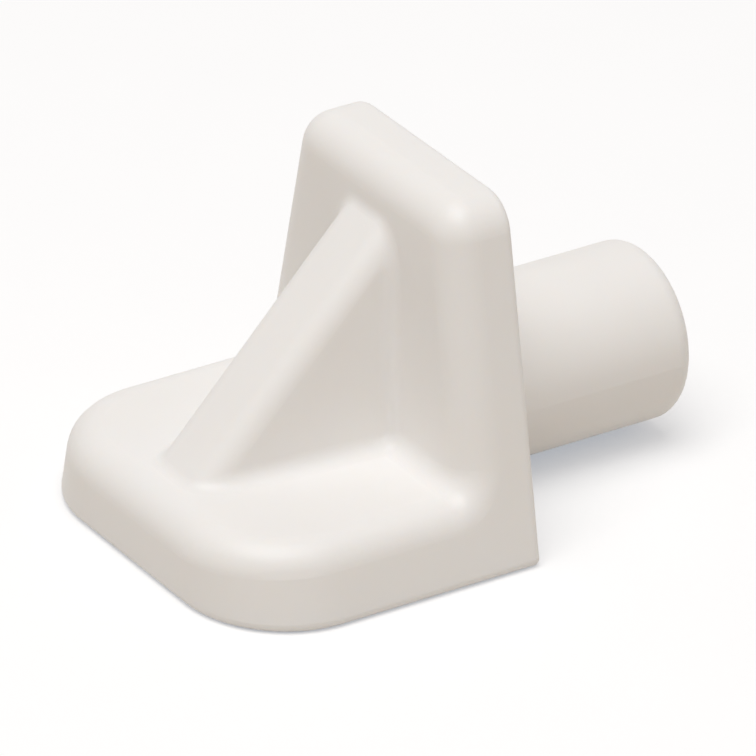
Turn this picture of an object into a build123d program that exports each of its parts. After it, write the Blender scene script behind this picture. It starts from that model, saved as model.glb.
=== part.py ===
from build123d import *
import math
import os

# Shelf support pin, moulded in one piece: a flat seat, a back plate that stands against the side
# panel of a cabinet, a gusset that braces the two, and a round pin that fills the panel's hole.
# Millimetres. The origin is where the pin's axis leaves the back plate. +Y runs along the pin to
# its free end, +X is across, and +Z points from the seat's flat face towards the gusset.

# Pin, a close sliding fit in a quarter-inch hole
panelHoleDiameter = 6.35
pinSlack = 0.05
pinLength = 8.9
pinEndRounding = 0.6

# Seat: the flat plate that carries the shelf
seatWidth = 14.5
seatReach = 11.7
seatThickness = 2.9
seatCornerRadius = 3.8

# Back plate: its sides lean in evenly from the seat's face to its top edge
backHeight = 12.7
backTopWidth = 9.3
backThickness = 2.55
backTopRadius = 1.4

# Gusset: a sloping web between the seat and the back plate, thinnest along its sloping edge. Its ends
# stop short of the seat's front edge and of the back plate's top edge, and it is bedded in both plates.
gussetEdgeWidth = 2.85
gussetSetBack = 1.65
gussetTopGap = 1.75
gussetDraft = 6.0
gussetBedding = 0.5

# Roundings of the moulding
rimRounding = 1.2
outerEdgeRounding = 0.3
heelRounding = 0.2
innerFillet = 0.7
gussetEdgeRounding = 0.8
gussetRootFillet = 0.6

# The pin's lowest line is just above the heel's rounding, so the back plate is flat all round the pin
# and the pin never lifts the shelf off the seat
pinAboveHeel = 0.05
pinRadius = (panelHoleDiameter - pinSlack) / 2
seatFace = -pinRadius - pinAboveHeel - heelRounding
seatTop = seatFace + seatThickness
backFront = -backThickness
backTop = seatFace + backHeight
spread = 2 * max(seatWidth, backHeight, seatReach)


def cornered(points, rounded, radius):
    """A closed outline with one radius on the corners that are listed."""
    outline = make_face(Polyline(*points, close=True))
    corners = [outline.vertices().sort_by_distance(point)[0] for point in rounded]
    return fillet(corners, radius)


def sideOutline():
    """Seat and back plate from the side, with the fillet in their inner corner and the round heel."""
    inner = (backFront, seatTop)
    seat = [(0, seatFace), (-seatReach, seatFace), (-seatReach, seatTop)]
    points = [*seat, inner, (backFront, backTop), (0, backTop)]
    outline = cornered(points, [inner], innerFillet)
    heel = outline.vertices().sort_by_distance((0, seatFace))[0]
    return fillet(heel, heelRounding)


def frontOutline():
    """Both plates from the front, with leaning sides and two rounded top corners."""
    half = seatWidth / 2
    halfTop = backTopWidth / 2
    top = [(halfTop, backTop), (-halfTop, backTop)]
    return cornered([(-half, seatFace), (half, seatFace), *top], top, backTopRadius)


def angleBody():
    """What the two outlines have in common, rounded at its corners, its rim and its outer edges."""
    sideways = extrude(Plane.YZ * sideOutline(), spread, both=True)
    lengthways = extrude(Plane.XZ * frontOutline(), spread, both=True)
    body = sideways & lengthways
    frontFace = body.faces().sort_by(Axis.Y)[0]
    corners = [edge for edge in frontFace.edges() if abs(edge.center().X) > seatWidth / 4]
    body = fillet(corners, seatCornerRadius)
    inner = [face for face in body.faces() if isInner(face)]
    shared = [edge for face in inner for edge in face.edges()]
    body = fillet([edge for edge in shared if shared.count(edge) == 1], rimRounding)
    foot = body.faces().sort_by(Axis.Z)[0].edges()
    rear = body.faces().sort_by(Axis.Y)[-1].edges()
    return fillet([edge for edge in foot + rear if not isHeel(edge)], outerEdgeRounding)


def isHeel(edge):
    """True for the two straight edges of the heel's rounding, which runs smoothly into both faces."""
    middle = edge.center()
    return abs(middle.X) < 0.01 and middle.Y > backFront and middle.Z < seatTop


def isInner(face):
    """True for the seat's top, the back plate's front and the fillet between them."""
    middle = face.center()
    central = abs(middle.X) < 0.01
    return central and -seatReach + 0.01 < middle.Y < backFront + 0.01 and middle.Z > seatTop - 0.01


def gussetWeb():
    """A bar along the slope that widens away from its rounded edge, cut off just inside both plates."""
    foot = Vector(0, gussetSetBack - seatReach, seatTop)
    head = Vector(0, backFront, backTop - gussetTopGap)
    depth = backHeight
    halfEdge = gussetEdgeWidth / 2
    halfRoot = halfEdge + depth * math.tan(math.radians(gussetDraft))
    edge = [(-halfEdge, 0), (halfEdge, 0)]
    section = cornered([*edge, (halfRoot, depth), (-halfRoot, depth)], edge, gussetEdgeRounding)
    across = Plane(foot, x_dir=(1, 0, 0), z_dir=head - foot)
    bar = extrude(across * section, spread, both=True)
    inside = Location((0, backFront + gussetBedding, seatTop - gussetBedding))
    corner = inside * Box(spread, spread, spread, align=(Align.CENTER, Align.MAX, Align.MIN))
    return bar & corner


def pin():
    """The round pin, from inside the back plate to its rounded free end."""
    profile = [(0, backFront / 2), (pinRadius, backFront / 2), (pinRadius, pinLength), (0, pinLength)]
    half = cornered(profile, [profile[2]], pinEndRounding)
    return revolve(Plane.XY * half, Axis.Y)


def shelfSupport():
    """The whole moulding: the angle, its gusset with filleted roots, and the pin."""
    body = angleBody()
    web = gussetWeb()
    braced = body + web
    roots = new_edges(body, web, combined=braced)
    return fillet(roots, gussetRootFillet) + pin()


os.makedirs("parts", exist_ok=True)
export_step(shelfSupport(), "parts/shelf_support.step")
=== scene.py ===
import bpy
import math
from mathutils import Matrix, Vector


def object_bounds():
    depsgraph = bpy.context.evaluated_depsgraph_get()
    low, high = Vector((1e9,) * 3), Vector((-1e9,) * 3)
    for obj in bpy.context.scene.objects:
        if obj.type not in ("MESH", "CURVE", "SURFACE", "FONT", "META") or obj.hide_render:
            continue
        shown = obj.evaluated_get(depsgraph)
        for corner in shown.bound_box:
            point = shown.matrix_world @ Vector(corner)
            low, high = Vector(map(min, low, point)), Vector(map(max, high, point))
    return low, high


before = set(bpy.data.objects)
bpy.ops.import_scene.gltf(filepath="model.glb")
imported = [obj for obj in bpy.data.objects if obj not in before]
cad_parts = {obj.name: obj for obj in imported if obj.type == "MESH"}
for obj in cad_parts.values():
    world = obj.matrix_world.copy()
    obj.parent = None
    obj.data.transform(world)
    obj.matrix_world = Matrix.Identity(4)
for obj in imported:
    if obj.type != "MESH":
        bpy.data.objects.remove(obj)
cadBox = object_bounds()
print("frame loaded:", sorted(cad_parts))

mm = 0.001


# hex text is sRGB, and the shader takes linear values
def linearColour(hexText):
    channels = [int(hexText[i:i + 2], 16) / 255 for i in (1, 3, 5)]
    linear = [c / 12.92 if c <= 0.04045 else ((c + 0.055) / 1.055) ** 2.4 for c in channels]
    return (*linear, 1.0)


# settings: a property's name, or a socket's name or number; links: a socket and the output it takes
def addNode(tree, kind, settings=None, links=None):
    node = tree.nodes.new(kind)
    for name, value in (settings or {}).items():
        if isinstance(name, str) and hasattr(node, name):
            setattr(node, name, value)
        else:
            node.inputs[name].default_value = value
    for name, output in (links or {}).items():
        tree.links.new(output, node.inputs[name])
    return node


# Polypropylene, injection moulded in a finely etched steel mould. The skin is satin: highlights are
# broad and soft, and light enters a little way, so thin rims look milky and shadows stay warm.
polypropylene = {
    "colour": "#F5F3F1",
    "warmColour": "#F3F0EC",
    "ior": 1.49,
    "roughness": 0.42,
    "roughnessSwing": 0.05,
    "scatterWeight": 0.25,
    "scatterReach": 1.2,          # mm that light travels under the skin
    "flowSpacing": 4.0,           # mm between faint flow clouds
    "etchSpacing": 0.16,          # mm between the etched mould's grains, drawn coarser than real
    "etchHeight": 0.004,          # mm
}


def makePolypropylene(spec):
    material = bpy.data.materials.new("mouldedPolypropylene")
    material.use_nodes = True
    tree = material.node_tree
    tree.nodes.clear()
    place = addNode(tree, "ShaderNodeTexCoord").outputs["Object"]
    flow = addNode(tree, "ShaderNodeTexNoise",
                   {"Scale": 1 / (spec["flowSpacing"] * mm), "Detail": 3.0, "Roughness": 0.5},
                   {"Vector": place})
    tint = addNode(tree, "ShaderNodeMix",
                   {"data_type": "RGBA", 6: linearColour(spec["colour"]), 7: linearColour(spec["warmColour"])},
                   {0: flow.outputs["Fac"]})
    etch = addNode(tree, "ShaderNodeTexNoise",
                   {"Scale": 1 / (spec["etchSpacing"] * mm), "Detail": 2.0, "Roughness": 0.6},
                   {"Vector": place})
    gloss = addNode(tree, "ShaderNodeMapRange",
                    {"To Min": spec["roughness"] - spec["roughnessSwing"],
                     "To Max": spec["roughness"] + spec["roughnessSwing"]},
                    {"Value": flow.outputs["Fac"]})
    grain = addNode(tree, "ShaderNodeBump", {"Strength": 0.35, "Distance": spec["etchHeight"] * mm},
                    {"Height": etch.outputs["Fac"]})
    shader = addNode(tree, "ShaderNodeBsdfPrincipled",
                     {"IOR": spec["ior"], "Subsurface Weight": spec["scatterWeight"],
                      "Subsurface Scale": spec["scatterReach"] * mm,
                      "Subsurface Radius": (1.0, 0.85, 0.7)},
                     {"Base Color": tint.outputs[2], "Roughness": gloss.outputs["Result"],
                      "Normal": grain.outputs["Normal"]})
    addNode(tree, "ShaderNodeOutputMaterial", None, {"Surface": shader.outputs["BSDF"]})
    return material


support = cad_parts["shelf_support"]
plastic = makePolypropylene(polypropylene)
for slot in support.material_slots:
    slot.material = plastic
print("material set:", plastic.name)


# Floor: painted board, rolled matt white. It lies under the seat's flat face and keeps the part's
# soft shadow, and to the camera it is lifted to about white.
floor = {
    "halfSize": 1500.0,           # mm
    "gap": 0.01,                  # mm under the part
    "colour": "#DFDAD3",
    "rollerSpacing": 6.0,         # mm between the roller's marks
    "shade": 0.02,
    "lift": 0.41,
    "liftColour": "#E8F2FF",
}


def makePaint(spec):
    material = bpy.data.materials.new("mattWhitePaint")
    material.use_nodes = True
    tree = material.node_tree
    tree.nodes.clear()
    place = addNode(tree, "ShaderNodeTexCoord").outputs["Object"]
    marks = addNode(tree, "ShaderNodeTexNoise", {"Scale": 1 / (spec["rollerSpacing"] * mm), "Detail": 2.0},
                    {"Vector": place})
    pale = linearColour(spec["colour"])
    dull = (*[c * (1 - spec["shade"]) for c in pale[:3]], 1.0)
    colour = addNode(tree, "ShaderNodeMix", {"data_type": "RGBA", 6: pale, 7: dull}, {0: marks.outputs["Fac"]})
    paint = addNode(tree, "ShaderNodeBsdfDiffuse", None, {"Color": colour.outputs[2]})
    rays = addNode(tree, "ShaderNodeLightPath").outputs
    seen = addNode(tree, "ShaderNodeMath", {"operation": "MAXIMUM"},
                   {0: rays["Is Camera Ray"], 1: rays["Is Glossy Ray"]})
    seenThrough = addNode(tree, "ShaderNodeMath", {"operation": "MAXIMUM"},
                          {0: seen.outputs[0], 1: rays["Is Transmission Ray"]})
    amount = addNode(tree, "ShaderNodeMath", {"operation": "MULTIPLY", 1: spec["lift"]},
                     {0: seenThrough.outputs[0]})
    glow = addNode(tree, "ShaderNodeEmission", {"Color": linearColour(spec["liftColour"])},
                   {"Strength": amount.outputs[0]})
    both = addNode(tree, "ShaderNodeAddShader", None, {0: paint.outputs[0], 1: glow.outputs[0]})
    addNode(tree, "ShaderNodeOutputMaterial", None, {"Surface": both.outputs[0]})
    return material


def makeFloor(spec, height):
    half = spec["halfSize"] * mm
    mesh = bpy.data.meshes.new("floor")
    corners = [(-half, -half, height), (half, -half, height), (half, half, height), (-half, half, height)]
    mesh.from_pydata(corners, [], [(0, 1, 2, 3)])
    mesh.materials.append(makePaint(spec))
    board = bpy.data.objects.new("floor", mesh)
    bpy.context.scene.collection.objects.link(board)
    return board


makeFloor(floor, cadBox[0].z - floor["gap"] * mm)
print("floor laid")


# Studio: an even, slightly warm room and one large softbox overhead
studio = {
    "room": 0.39,
    "roomColour": "#FFF4E8",
    "softboxSize": 300.0,         # mm, each side
    "softboxPlace": (60.0, -90.0, 405.0),
    "softboxPower": 1.19,         # W
    "softboxColour": "#F6FAFF",
}


def makeRoom(spec):
    world = bpy.data.worlds.new("whiteRoom")
    world.use_nodes = True
    tree = world.node_tree
    tree.nodes.clear()
    rays = addNode(tree, "ShaderNodeLightPath").outputs
    seen = addNode(tree, "ShaderNodeMath", {"operation": "MAXIMUM"},
                   {0: rays["Is Camera Ray"], 1: rays["Is Glossy Ray"]})
    seenThrough = addNode(tree, "ShaderNodeMath", {"operation": "MAXIMUM"},
                          {0: seen.outputs[0], 1: rays["Is Transmission Ray"]})
    level = addNode(tree, "ShaderNodeMapRange", {"To Min": spec["room"], "To Max": 1.0},
                    {"Value": seenThrough.outputs[0]})
    colour = addNode(tree, "ShaderNodeMix",
                     {"data_type": "RGBA", 6: linearColour(spec["roomColour"]), 7: linearColour("#FFFFFF")},
                     {0: seenThrough.outputs[0]})
    light = addNode(tree, "ShaderNodeBackground", None,
                    {"Color": colour.outputs[2], "Strength": level.outputs["Result"]})
    addNode(tree, "ShaderNodeOutputWorld", None, {"Surface": light.outputs[0]})
    bpy.context.scene.world = world


def makeSoftbox(spec):
    data = bpy.data.lights.new("softbox", "AREA")
    data.shape = "SQUARE"
    data.size = spec["softboxSize"] * mm
    data.energy = spec["softboxPower"]
    data.color = linearColour(spec["softboxColour"])[:3]
    lamp = bpy.data.objects.new("softbox", data)
    bpy.context.scene.collection.objects.link(lamp)
    lamp.location = Vector(spec["softboxPlace"]) * mm
    lamp.rotation_mode = "QUATERNION"
    lamp.rotation_quaternion = lamp.location.to_track_quat("Z", "Y")


makeRoom(studio)
makeSoftbox(studio)
print("studio lit")


# Camera: a long lens from the front right, above the seat, turned a little about its own axis
camera = {
    "azimuth": 56.0,
    "elevation": 28.4,
    "roll": 1.5,
    "distance": 344.3,            # mm
    "lens": 485.7,                # mm, on the sensor below
    "sensor": 36.0,
    "aim": (-1.04, -1.27, 0.29),        # mm, the point at the middle of the view
}


def makeCamera(spec):
    azimuth, elevation, roll = (math.radians(spec[key]) for key in ("azimuth", "elevation", "roll"))
    level = math.cos(elevation)
    back = Vector((math.sin(azimuth) * level, -math.cos(azimuth) * level, math.sin(elevation)))
    data = bpy.data.cameras.new("camera")
    data.lens = spec["lens"]
    data.sensor_width = spec["sensor"]
    data.clip_start = 10 * mm
    data.clip_end = 10.0
    eye = bpy.data.objects.new("camera", data)
    bpy.context.scene.collection.objects.link(eye)
    facing = back.to_track_quat("Z", "Y").to_matrix() @ Matrix.Rotation(roll, 3, "Z")
    eye.rotation_mode = "QUATERNION"
    eye.rotation_quaternion = facing.to_quaternion()
    eye.location = (Vector(spec["aim"]) + back * spec["distance"]) * mm
    return eye


scene = bpy.context.scene
scene.camera = makeCamera(camera)
scene.view_settings.view_transform = "Standard"
print("camera placed")
